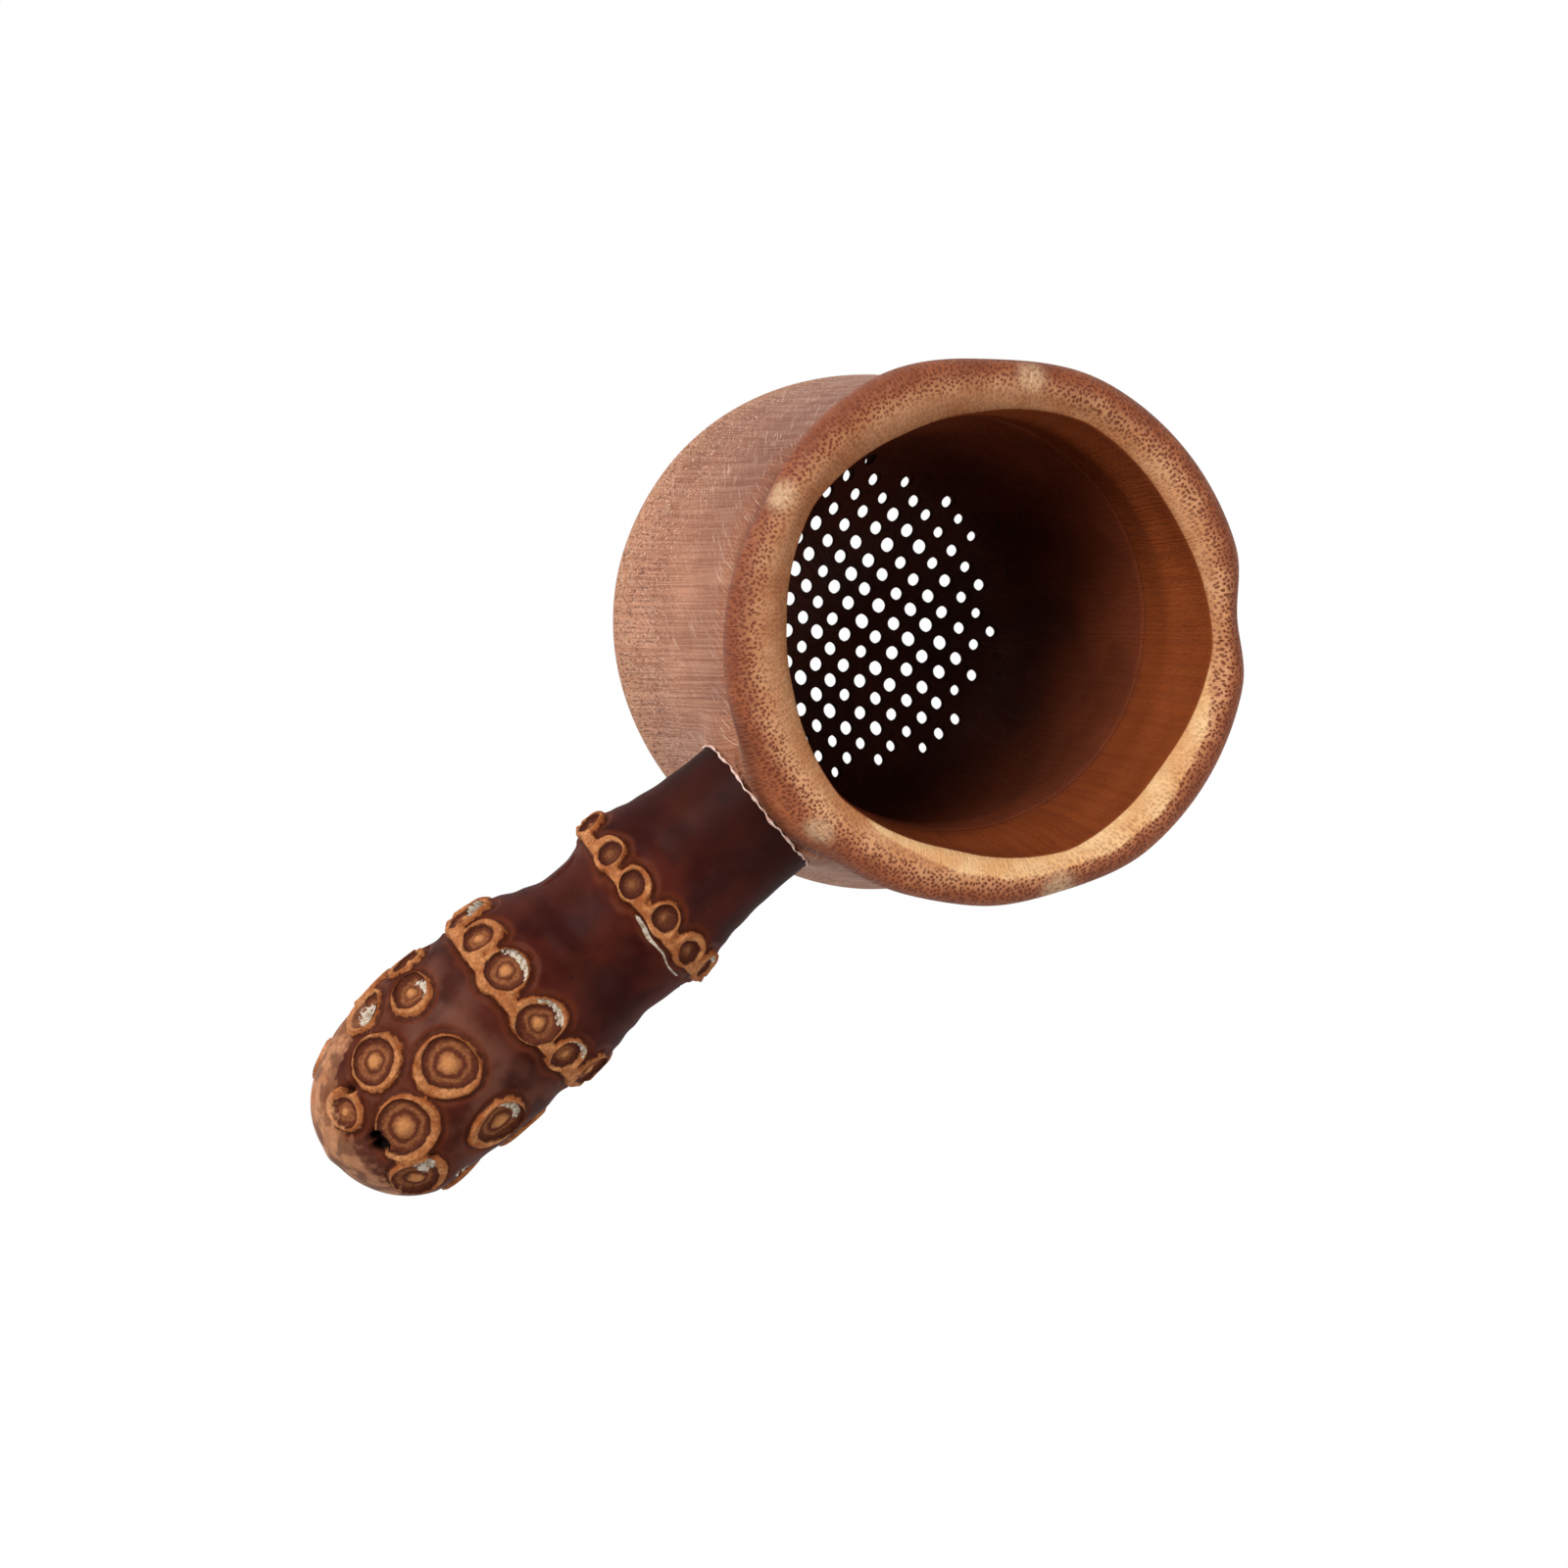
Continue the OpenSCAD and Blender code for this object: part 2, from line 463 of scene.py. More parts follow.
# %% Pull the hollow off the middle
MOUTH_OFF = Vector((-0.85, 0.85, 0)) * MM


def pull(piece, test, by, reach):
    """Pull the vertices that pass a test aside, with a soft falloff along the skin."""
    edit(piece)
    picked = pick(piece, test)
    bpy.ops.transform.translate(value=by, use_proportional_edit=True,
                                use_proportional_connected=True,
                                proportional_edit_falloff="SMOOTH", proportional_size=reach)
    put_down()
    return picked


def in_dish(place):
    """The middle of the floor, its upper and its lower face."""
    return off_axis(place) < 9 * MM and place.z < 20 * MM


def at_step(place):
    """The faint step where the boring meets the natural cavity."""
    return off_axis(place) < 26 * MM and abs(place.z - STEP_Z) < 2 * MM


def at_mouth(place):
    """The inner edge of the lip."""
    return off_axis(place) < 26.7 * MM and place.z > CUP_H - 7 * MM


pull(cup, in_dish, DISH_OFF, reach=15 * MM)
pull(cup, at_step, Vector((-1.6, -0.3, 0)) * MM, reach=12 * MM)
pull(cup, at_mouth, MOUTH_OFF, reach=5 * MM)
print("dish pulled", round(DISH_OFF.length / MM, 1), "mm off the middle")

# %% [markdown]
# ### Drilled holes
#
# The floor is drilled by hand on a square net. One drill bit is modelled, a
# cylinder of sixteen sides, and copied to every place of the net; each copy has
# its own mesh and sits a hair off its mark. All the bits are joined and cut from
# the cup in one Boolean. Rounding the cup comes first, because it would
# close up the holes' edges.

# %% Drill the floor
def hole_places():
    """The square net on the dish, as far as it stays inside the foot ring."""
    places = []
    reach = math.ceil(FIELD_R / HOLE_PITCH)
    turn = Matrix.Rotation(FIELD_TURN, 3, "Z")
    for row in range(-reach, reach + 1):
        for column in range(-reach, reach + 1):
            spot = turn @ Vector((row, column, 0)) * HOLE_PITCH
            from_axis = (spot + DISH_OFF).length
            if spot.length < FIELD_R and from_axis < FOOT_IN_R - HOLE_D / 2 - FIELD_EDGE:
                places.append(spot + DISH_OFF)
    return places


def make_bit():
    """One drill bit, long enough to go right through the floor."""
    put_down()
    bpy.ops.mesh.primitive_cylinder_add(vertices=16, radius=HOLE_D / 2, depth=CUP_H / 2)
    bit = bpy.context.object
    bit.name = "drill_bit"
    return bit


def copy_of(piece, name):
    """A copy of a piece, with its own mesh."""
    take(piece)
    bpy.ops.object.duplicate(linked=False)
    twin = bpy.context.object
    twin.name = name
    return twin


def join(pieces):
    """Join several pieces into the first."""
    take(pieces[0])
    for piece in pieces:
        piece.select_set(True)
    bpy.ops.object.join()
    return pieces[0]


def cut(piece, tool):
    """Cut a tool's shape out of a piece, and put the tool away."""
    boolean = piece.modifiers.new("cut", "BOOLEAN")
    boolean.operation = "DIFFERENCE"
    boolean.solver = "MANIFOLD"
    boolean.object = tool
    apply(piece, boolean)
    bpy.data.objects.remove(tool)


STRAY = 0.16 * MM


def drill_floor(piece):
    """Copy the bit to every place, a hair off its mark, and cut them all at once."""
    rng = random.Random(11)
    bit = make_bit()
    bits = []
    for number, place in enumerate(hole_places()):
        twin = copy_of(bit, f"drill_bit_{number}")
        stray = Vector((rng.uniform(-1, 1), rng.uniform(-1, 1), 0)) * STRAY
        twin.location = place + stray + Vector((0, 0, CUP_H / 4))
        narrower = 0.2 * ease(13 * MM, FIELD_R, (place - DISH_OFF).length)
        width = rng.uniform(0.88, 1.02) * (1 - narrower)
        twin.scale = (width, width * rng.uniform(0.92, 1.08), 1)
        bits.append(twin)
    bpy.data.objects.remove(bit)
    cut(piece, join(bits))
    return len(bits)


round_off(cup)
print("holes drilled:", drill_floor(cup))

# %% [markdown]
# ### The dowel's hole
#
# The handle is held by a dowel that nobody sees. The same cutter, a plain
# cylinder laid along the handle's axis, is cut from the cup here and from the
# handle later on.

# %% Bore the cup for the dowel
dowel_low, dowel_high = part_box("handle_dowel")
DOWEL_R = 2.6 * MM


def lay_along_handle(piece):
    """Take a piece that was made along Z at the origin to the handle's axis."""
    take(piece)
    bpy.ops.transform.rotate(value=-(math.pi / 2 + DROOP), orient_axis="Y",
                             center_override=(0, 0, 0))
    bpy.ops.transform.translate(value=JOINT)
    settle(piece)


def dowel_bit():
    """A cylinder where the dowel sits, with its clearance."""
    put_down()
    length = (dowel_high.x - dowel_low.x) / math.cos(DROOP) + 0.2 * MM
    start = (dowel_low.x - JOINT.x) / math.cos(DROOP)
    bpy.ops.mesh.primitive_cylinder_add(vertices=32, radius=DOWEL_R, depth=length,
                                        location=(0, 0, start + length / 2))
    bit = bpy.context.object
    settle(bit)
    lay_along_handle(bit)
    return bit


cut(cup, dowel_bit())
smooth_shade(cup, 38)
cup.name = "strainer_cup"
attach(cup, "root")
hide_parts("cup")
print("cup:", sum(len(f.vertices) - 2 for f in cup.data.polygons), "triangles")

# %% [markdown]
# ## The handle
#
# The handle is a piece of rhizome: two swollen nodes with a chain of rootlet
# scars each, and a knobbly end that is scars nearly all over. Sculpting it by
# hand would work, but the same knobs would be hard to change later. So the plain
# rhizome is spun on the lathe like the cup, and every scar is a place on it:
# how far along, how far round, and how big. A vertex then knows its distance to
# the nearest scar, and that one distance drives the relief, and later the colours.

# %% Turn the plain rhizome
PROFILE = [(-9, 9.1), (2, 9.1), (6, 9.3), (10, 9.8), (12.6, 10.4), (14.6, 11.3), (16.8, 11.6),
           (17.8, 11.4), (18.5, 10.5), (20.5, 10.2), (24, 10.1), (27, 10.8), (29.6, 11.6),
           (31.6, 12.3), (35.2, 12.5), (36.2, 11.9), (38, 11.6), (41, 12.1), (46, 12.3),
           (50, 11.9), (52, 11.7)]
TIP_START = 52
TIP_ROUND = 12


def rhizome_radius(along):
    """Radius of the plain rhizome at a distance from the cup, both in millimetres."""
    for (s0, r0), (s1, r1) in zip(PROFILE, PROFILE[1:]):
        if along <= s1:
            return r0 + (r1 - r0) * ease(s0, s1, along)
    return PROFILE[-1][1] * math.sqrt(max(0, 1 - ((along - TIP_START) / TIP_ROUND) ** 2))


def rhizome_outline():
    """Section of the plain rhizome from the neck's end to the tip."""
    line = [(0, PROFILE[0][0] * MM)]
    line += [(rhizome_radius(step / 2) * MM, step / 2 * MM) for step in range(-18, 2 * TIP_START)]
    for step in range(0, 19):
        angle = math.radians(5 * step)
        line.append((PROFILE[-1][1] * math.cos(angle) * MM,
                     (TIP_START + TIP_ROUND * math.sin(angle)) * MM))
    return line


handle = turn_on_lathe("plain_rhizome", rhizome_outline(), steps=144)
round_off(handle)
print("rhizome:", len(handle.data.vertices), "vertices")

# %% [markdown]
# ### Where the rootlets grew
#
# A scar is (distance from the cup in mm, degrees round from the top, length and
# width in mm). The first chain is even enough for a loop, and the others are
# listed one by one. On the two nodes a raised band joins the scars on the side of the tip.

# %% List the scars
FIRST_CHAIN = [(15.5, -49 + 27 * number, 4.6, 5.0) for number in range(13)]
SECOND_CHAIN = [(33.3, -84, 6.6, 6.2), (33.1, -55, 5.8, 5.2), (33.4, -29, 6.6, 6.4),
                (33.7, 4, 6.9, 6.6), (34.0, 33, 5.6, 5.0), (33.7, 62, 6.4, 6.2),
                (33.5, 94, 6.6, 6.4), (33.3, 125, 6.2, 6.2), (33.5, 155, 6.6, 6.0),
                (33.7, 185, 6.6, 6.4), (33.4, 215, 5.8, 6.0), (33.2, 245, 6.6, 6.2)]
KNOBS = [(43.4, -57, 5.8, 6.6), (49.2, -74, 6.0, 6.4), (51.0, -39, 6.6, 7.6), (45.0, -8, 7.9, 8.2),
         (57.6, -33, 5.2, 5.6), (53.2, 3, 8.6, 7.8), (45.2, 42, 8.2, 7.2), (56.4, 37, 7.4, 7.6),
         (42.2, -90, 5.4, 5.8), (44.4, 90, 7.6, 7.8), (53.4, 92, 7.0, 8.0), (42.6, 134, 6.8, 7.4),
         (50.4, 136, 7.8, 7.4), (44.2, 180, 8.0, 8.2), (53.6, 168, 7.2, 7.6), (42.6, 226, 7.0, 7.4),
         (51.4, 218, 8.0, 7.8), (57.6, 250, 6.2, 6.8), (47.6, 254, 6.6, 7.0), (60.4, 120, 5.4, 5.4)]
SCARS = FIRST_CHAIN + SECOND_CHAIN + KNOBS
BANDS = [(15.6, 17.5), (33.9, 36.2)]


def round_from_top(place):
    """Degrees round the rhizome from its top, towards +Y, from -180 to 180."""
    return math.degrees(math.atan2(place.y, -place.x))


def on_skin(along, degrees):
    """The place on the plain rhizome at a distance from the cup and an angle from the top."""
    angle = math.radians(degrees)
    radius = rhizome_radius(along) * MM
    return Vector((-radius * math.cos(angle), radius * math.sin(angle), along * MM))


def spot_on_skin(along, degrees):
    """A place on the plain rhizome, and the direction round it."""
    angle = math.radians(degrees)
    return on_skin(along, degrees), Vector((math.sin(angle), math.cos(angle), 0))


def scar_frames():
    """For each scar its centre, its two directions along the skin, and its half sizes."""
    frames = []
    for along, degrees, length, width in SCARS:
        centre, across = spot_on_skin(along, degrees)
        lengthwise = (on_skin(along + 0.5, degrees) - on_skin(along - 0.5, degrees)).normalized()
        frames.append((centre, lengthwise, across, length / 2 * MM, width / 2 * MM))
    return frames


print(len(SCARS), "scars on the rhizome")

# %% [markdown]
# ### Measure every vertex against the scars
#
# Three numbers are kept on the mesh, as attributes. `rim` is how far a vertex
# lies outside the nearest scar's edge, in millimetres and negative inside it.
# `stump` is the same for the rootlet's stump, which sits off the middle of its
# scar, and `core` is 0 in the stump's middle and 1 at its edge. The outlines are
# a little lumpy, because no rootlet is a perfect circle.

# %% Rim, stump and core
RIM_W = 1.05
LEAN = 0.11


def measure_scars(piece):
    """Work out rim, stump and core for every vertex of the rhizome."""
    frames = scar_frames()
    rims, stumps, cores = [], [], []
    for vertex in piece.data.vertices:
        rim, stump, core = 9, 9, 3
        for number, (centre, lengthwise, across, half_long, half_wide) in enumerate(frames):
            if abs(vertex.co.z - centre.z) > 7 * MM:
                continue
            away = vertex.co - centre
            if away.length > 8 * MM:
                continue
            u = away.dot(lengthwise) / half_long
            v = away.dot(across) / half_wide
            turn = math.atan2(v, u)
            lumps = 1 + 0.04 * math.sin(2 * turn + number)
            lumps += 0.035 * math.sin(3 * turn + 2.3 * number)
            size = (half_long + half_wide) / 2 / MM
            edge = (math.hypot(u, v) / lumps - 1) * size
            if edge < rim:
                rim = edge
                u -= LEAN * math.sin(2.4 * number)
                v -= LEAN * math.cos(2.4 * number)
                stump = math.hypot(u, v) * size / lumps - (size - RIM_W)
                core = math.hypot(u, v) * size / (size - RIM_W)
        along = vertex.co.z / MM
        for low, high in BANDS:
            rim = min(rim, abs(along - (low + high) / 2) - (high - low) / 2)
        rims.append(rim)
        stumps.append(stump)
        cores.append(core)
    keep(piece, "rim", rims)
    keep(piece, "stump", stumps)
    keep(piece, "core", cores)
    return rims, stumps, cores


rims, stumps, cores = measure_scars(handle)
print("vertices on a stump:", sum(stump < 0 for stump in stumps))

# %% [markdown]
# ### Press the relief in and out
#
# Each kind of relief is one set of weights and one Displace modifier: the raised
# rims, the furrow round them, the sunken middles and the little nub in each
# middle. A depth below zero raises the skin instead.

# %% Raise the rims and sink the middles
RELIEF = {"rim up": (-0.38, [bump(-0.5, 0.75, rim) for rim in rims]),
          "furrow": (0.34, [bump(0.28, 0.5, rim) for rim in rims]),
          "sunk": (0.42, [1 - ease(-0.35, 0.1, stump) for stump in stumps]),
          "nub": (-0.32, [1 - ease(0.15, 0.45, core) for core in cores])}

for name, (depth, weights) in RELIEF.items():
    press(handle, name, weights, depth * MM)
print("relief pressed in:", list(RELIEF))

# %% [markdown]
# ### Age and damage
#
# Worm holes, cracks and rotted scars: each is a soft oval at a place on the
# skin, given like a scar, with its depth in millimetres behind. The long slit
# beside the first node follows a line round the neck. What is damaged is kept on
# the mesh as well, for the colours: the dried pith is pale, and the holes get
# painted shade inside.

# %% Holes, cracks and the slit
WORM_DEPTH = 2.6
HOLES = [(56.7, -2, 2.0, 3.1, 2.6), (55.4, -40, 0.9, 2.3, 1.2), (57.4, -62, 1.0, 1.8, 0.7),
         (54.2, 27, 3.4, 0.7, 0.9), (49.2, -74, 2.8, 3.2, 0.5), (32.2, -86, 2.6, 3.6, 0.8),
         (21.5, -81, 5.0, 1.3, 0.5), (39.8, -97, 1.4, 2.4, 0.8), (60.3, -70, 1.6, 1.2, 0.6),
         (52.6, 63, 1.0, 3.2, 0.6), (48.5, 112, 1.6, 1.0, 0.8), (56.5, 200, 1.4, 2.6, 0.9)]


def oval(place, spot, length, width):
    """1 in the middle of an oval on the skin, easing to 0 at its edge. spot is its frame."""
    centre, across = spot
    away = place - centre
    if abs(away.z) > length * MM or away.length > (length + width) * MM:
        return 0
    u = away.z / (length / 2 * MM)
    v = away.dot(across) / (width / 2 * MM)
    turn = math.atan2(v, u)
    ragged = 1 + 0.15 * math.sin(3 * turn + centre.z / MM) + 0.05 * math.sin(7 * turn)
    return 1 - ease(0.45, 1.1, math.hypot(u, v) / ragged)


def slit_line(degrees):
    """How far along the slit lies, in mm: a gentle slope from its upper to its lower end."""
    return 17.9 + (degrees + 11) / 67 + 0.12 * math.sin(degrees / 5)


def slit_off(place):
    """How far a place lies from the slit's middle line, along the handle, in mm."""
    return place.z / MM - slit_line(round_from_top(place))


def slit_half(place):
    """Half the slit's width in mm: it narrows to less than nothing at both ends."""
    degrees = round_from_top(place)
    open_part = ease(-13, -6, degrees) * (1 - ease(48, 58, degrees))
    return -0.3 + (0.33 + 0.09 * bump(2, 34, degrees)) * open_part


def slit_amount(place):
    """1 on the slit behind the first node, 0 off it: only a soft groove."""
    return 1 - ease(0, 0.5, abs(slit_off(place)) - slit_half(place))


def crescent(place, centre, radius):
    """1 on a crescent of dried pith at the neck side of a scar, 0 elsewhere."""
    away = place - centre
    if abs(away.z) > (radius + 1) * MM or away.length > (radius + 1) * MM:
        return 0
    ring = bump(radius, 0.5, away.length / MM)
    return ring * ease(0.25, 0.9, -away.z / away.length)


CRESCENTS = [(33.7, 4, 2.3), (34.0, 33, 1.9), (33.4, -29, 2.4), (15.5, 59, 1.4), (43.4, -57, 1.7),
             (45.2, 42, 2.6), (50.4, 136, 2.6), (33.5, 155, 2.2)]

DRY_PITS = [(49.2, -74, 3.0, 3.2), (54.6, 30, 3.0, 3.0), (32.2, -88, 2.6, 3.2),
            (52.4, 66, 2.0, 3.2)]
holes_at = [(spot_on_skin(hole[0], hole[1]), *hole[2:]) for hole in HOLES]
pits_at = [(spot_on_skin(pit[0], pit[1]), *pit[2:]) for pit in DRY_PITS]
crescents_at = [(on_skin(along, degrees), radius) for along, degrees, radius in CRESCENTS]

hollow, pith = [], []
for vertex in handle.data.vertices:
    place = vertex.co
    hollow.append(max(depth / WORM_DEPTH * oval(place, spot, length, width)
                      for spot, length, width, depth in holes_at))
    dry = max(0.8 * oval(place, spot, length, width) for spot, length, width in pits_at)
    pith.append(max(dry, max(crescent(place, centre, radius) for centre, radius in crescents_at)))

for name, values in (("hollow", hollow), ("pith", pith), ("slit_off", at_each(handle, slit_off)),
                     ("slit_half", at_each(handle, slit_half))):
    keep(handle, name, values)
press(handle, "slit", at_each(handle, slit_amount), 0.25 * MM)
press(handle, "hollow", hollow, WORM_DEPTH * MM)
press(handle, "pith", pith, 0.3 * MM)
print("worm holes and cracks:", len(HOLES))

# %% [markdown]
# ### Lumps and a slight bend
#
# A rhizome is never straight or round. Slow waves round and along it give
# the lumps, and two soft pulls bend the tip up and the middle down by half
# a millimetre or so.

# %% Make it grow crooked
def lump(place):
    """Slow, irregular swellings along the rhizome, fading out at the neck."""
    turn = math.radians(round_from_top(place))
    along = place.z / MM
    wave = math.sin(2 * turn + 0.21 * along) + math.sin(3 * turn - 0.33 * along + 1)
    wave += 0.6 * math.sin(5 * turn + 0.5 * along)
    return (0.5 + 0.19 * wave) * ease(2, 20, along)


def at_tip(place):
    """The last few millimetres of the rhizome."""
    return place.z > 57 * MM


def at_middle(place):
    """A short stretch between the two nodes."""
    return abs(place.z - 23.5 * MM) < 2 * MM


press(handle, "lumps", at_each(handle, lump), 0.45 * MM)
pull(handle, at_tip, Vector((-0.3, 0.8, 0)) * MM, reach=11 * MM)
pull(handle, at_middle, Vector((0.2, 0.8, 0)) * MM, reach=9 * MM)
print("tip bent, at most", round(max(at_each(handle, lambda place: place.z)) / MM, 1), "mm along")

# %% [markdown]
# ### Cope the neck to the cup
#
# The end of the neck is hollowed to sit against the round seat. A cylinder of the
# seat's radius is the cutter. The handle is taken to its place first, so that
# the cutter meets it where it will be glued.

# %% Lay the handle at the cup and cope it
WORN_FROM = 59


def worn_depth(place):
    """How far a place lies past the line where the tip is worn, in mm: it reaches up one side."""
    return place.z / MM - WORN_FROM + 10 * near_turn(-85, 60, round_from_top(place))


keep(handle, "along", at_each(handle, lambda place: place.z / MM))
keep(handle, "worn", at_each(handle, worn_depth))
lay_along_handle(handle)


def coping_tool():
    """The seat's radius and the glue's thickness, as an upright cylinder to cut with."""
    put_down()
    bpy.ops.mesh.primitive_cylinder_add(vertices=180, radius=BOSS_R + GLUE_T / 3, depth=CUP_H,
                                        location=(0, 0, CUP_H / 2))
    return bpy.context.object


cut(handle, coping_tool())
cut(handle, dowel_bit())
smooth_shade(handle, 50)
handle.name = "rhizome_handle"
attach(handle, "root")
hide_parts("handle")
tip = max(handle.data.vertices, key=lambda v: v.co.x).co
print("handle:", sum(len(f.vertices) - 2 for f in handle.data.polygons), "triangles, tip at",
      [round(c / MM, 1) for c in tip], "mm")

# %% [markdown]
# ## The glue and the dowel
#
# The thin seam of glue and the dowel fit exactly as they were constructed, so
# both stay as they are and only get a finish. What the construction leaves
# out is the glue that was squeezed out and dried in a thin, wavy line along the
# joint. It could be a curve with a bevel, but a small ring bent round
# the neck and pulled onto the wall stays one plain mesh.

# %% Squeeze out the glue
BEAD_R = 0.2 * MM
BEAD_STEPS = 180


def bead_place(turn):
    """The joint's edge at an angle round the neck: on the handle's skin, against the wall."""
    wander = 0.09 * math.sin(11 * turn + 1) + 0.07 * math.sin(23 * turn)
    wander += 0.05 * math.sin(41 * turn + 2)
    radius = NECK_R + (0.2 + 0.5 * wander) * MM
    up = radius * math.cos(turn)
    side = radius * math.sin(turn)
    height = JOINT.z + up
    reach = math.sqrt((BOSS_R + GLUE_T / 3) ** 2 - side ** 2)
    return Vector((reach + wander * MM, side, height))


def make_bead():
    """A ring of glue, bent to the joint's edge: thick and thin by turns."""
    put_down()
    bpy.ops.mesh.primitive_torus_add(major_radius=NECK_R, minor_radius=BEAD_R,
                                     major_segments=BEAD_STEPS, minor_segments=8)
    bead = bpy.context.object
    for vertex in bead.data.vertices:
        turn = math.atan2(vertex.co.y, vertex.co.x)
        out = math.hypot(vertex.co.x, vertex.co.y) - NECK_R
        thick = 0.75 + 0.3 * math.sin(17 * turn + 0.5) + 0.2 * math.sin(37 * turn)
        middle = bead_place(turn)
        away = Vector((0, math.sin(turn), math.cos(turn))) * out * thick
        vertex.co = middle + away + Vector((vertex.co.z * thick, 0, 0))
    tidy_mesh(bead, 0.001 * MM)
    smooth_shade(bead, 60)
    bead.name = "glue_bead"
    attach(bead, "root")
    return bead


glue_bead = make_bead()
print("glue bead:", len(glue_bead.data.polygons), "faces")

# %% [markdown]
# ## Finishes
#
# All the finishes are procedural. A material is a handful of nodes, so small
# helpers place a node, do a sum, or lay one colour over another, like coats of
# stain. Colours are written as the eye reads them, from 0 to 255, and turned into
# Blender's linear values.

# %% Helpers for materials
def tint(red, green, blue):
    """A colour from 0 to 255 as Blender's linear colour."""
    def linear(value):
        value /= 255
        return value / 12.92 if value <= 0.04045 else ((value + 0.055) / 1.055) ** 2.4
    return (linear(red), linear(green), linear(blue), 1)


def plug(tree, into, values):
    """Set a node's inputs, or link them where the value is another node's output."""
    for name, value in values.items():
        if isinstance(value, bpy.types.NodeSocket):
            tree.links.new(value, into.inputs[name])
        else:
            into.inputs[name].default_value = value


def node(tree, kind, inputs=None, **settings):
    """Add a shader node, change its settings, and set or link its inputs."""
    new = tree.nodes.new("ShaderNode" + kind)
    for name, value in settings.items():
        setattr(new, name, value)
    plug(tree, new, inputs or {})
    return new


def sum_of(tree, operation, a, b=0.0):
    """One sum with one or two numbers."""
    return node(tree, "Math", {0: a, 1: b}, operation=operation).outputs[0]


def times(tree, value, share):
    """A number times a share."""
    return sum_of(tree, "MULTIPLY", value, share)


def plus(tree, a, b):
    """Two numbers added."""
    return sum_of(tree, "ADD", a, b)


def minus(tree, a, b):
    """The first number less the second."""
    return sum_of(tree, "SUBTRACT", a, b)


def kept(tree, name):
    """A number that was kept on the mesh."""
    return node(tree, "Attribute", attribute_name=name).outputs["Fac"]


def fade(tree, value, low, high, to_low=0.0, to_high=1.0):
    """Map a number smoothly from low..high to to_low..to_high."""
    steps = {"Value": value, "From Min": low, "From Max": high, "To Min": to_low, "To Max": to_high}
    return node(tree, "MapRange", steps, interpolation_type="SMOOTHSTEP").outputs[0]


def mix(tree, mask, a, b):
    """Lay colour b over colour a by a mask. A colour is a socket, or red, green and blue."""
    a, b = (tint(*colour) if isinstance(colour, tuple) else colour for colour in (a, b))
    return node(tree, "Mix", {0: mask, 6: a, 7: b}, data_type="RGBA").outputs[2]


def coats(tree, colour, *layers):
    """Lay coats over a colour, each given as (mask, colour)."""
    for mask, coat in layers:
        colour = mix(tree, mask, colour, coat)
    return colour


def new_group(name, **numbers):
    """Start a node group: it takes a Place and the numbers, and gives one Amount."""
    group = bpy.data.node_groups.new(name, "ShaderNodeTree")
    group.interface.new_socket("Place", in_out="INPUT", socket_type="NodeSocketVector")
    for label, value in numbers.items():
        socket = group.interface.new_socket(label, in_out="INPUT", socket_type="NodeSocketFloat")
        socket.default_value = value
    group.interface.new_socket("Amount", in_out="OUTPUT", socket_type="NodeSocketFloat")
    put = group.nodes.new("NodeGroupInput").outputs
    return group, put, group.nodes.new("NodeGroupOutput").inputs[0]


def use(tree, group, **values):
    """Place a node group with its own values, and take its one output."""
    return node(tree, "Group", values, node_tree=group).outputs[0]


def new_material(name):
    """An empty material: its tree, its shader, and places on the piece in millimetres."""
    material = bpy.data.materials.new(name)
    material.use_nodes = True
    tree = material.node_tree
    shader = tree.nodes["Principled BSDF"]
    place = node(tree, "TexCoord").outputs["Object"]
    in_mm = node(tree, "Mapping", {"Vector": place, "Scale": (1000, 1000, 1000)}).outputs[0]
    return material, tree, shader, in_mm


def fine_relief(tree, height, strength, depth):
    """The normal of fine relief from a number, depth in mm where the number is 1."""
    values = {"Height": height, "Strength": strength, "Distance": depth * MM}
    return node(tree, "Bump", values).outputs[0]


def dress(piece, material):
    """Give a piece its one material."""
    piece.data.materials.clear()
    piece.data.materials.append(material)


print("helpers ready")

# %% [markdown]
# ### Bamboo, three effects
#
# Bamboo shows three things everywhere, so each is a node group. Fibres are fine
# streaks along the stock; the same group turned a little, like a thread, gives
# the marks of sanding. Bundles are the dark dots of cut fibres, which show where
# a surface crosses the grain. Mottle is the slow change of tone.

# %% Fibres, bundles and mottle
def fibres_group():
    """Streaks along Z: Width and Length in mm, Twist in radians per mm."""
    group, put, amount = new_group("fibres", Width=0.3, Length=8.0, Twist=0.0, Low=0.4, High=0.7)
    split = node(group, "SeparateXYZ", {0: put["Place"]}).outputs
    angle = sum_of(group, "MULTIPLY", split["Z"], put["Twist"])
    turned = node(group, "VectorRotate", {"Vector": put["Place"], "Angle": angle},
                  rotation_type="Z_AXIS").outputs[0]
    flat = node(group, "SeparateXYZ", {0: turned}).outputs
    across = sum_of(group, "DIVIDE", flat["X"], put["Width"])
    deep = sum_of(group, "DIVIDE", flat["Y"], put["Width"])
    along = sum_of(group, "DIVIDE", flat["Z"], put["Length"])
    stretched = node(group, "CombineXYZ", {0: across, 1: deep, 2: along}).outputs[0]
    noise = node(group, "TexNoise", {"Vector": stretched, "Scale": 1, "Detail": 3, "Roughness": 0.6})
    group.links.new(fade(group, noise.outputs[0], put["Low"], put["High"]), amount)
    return group


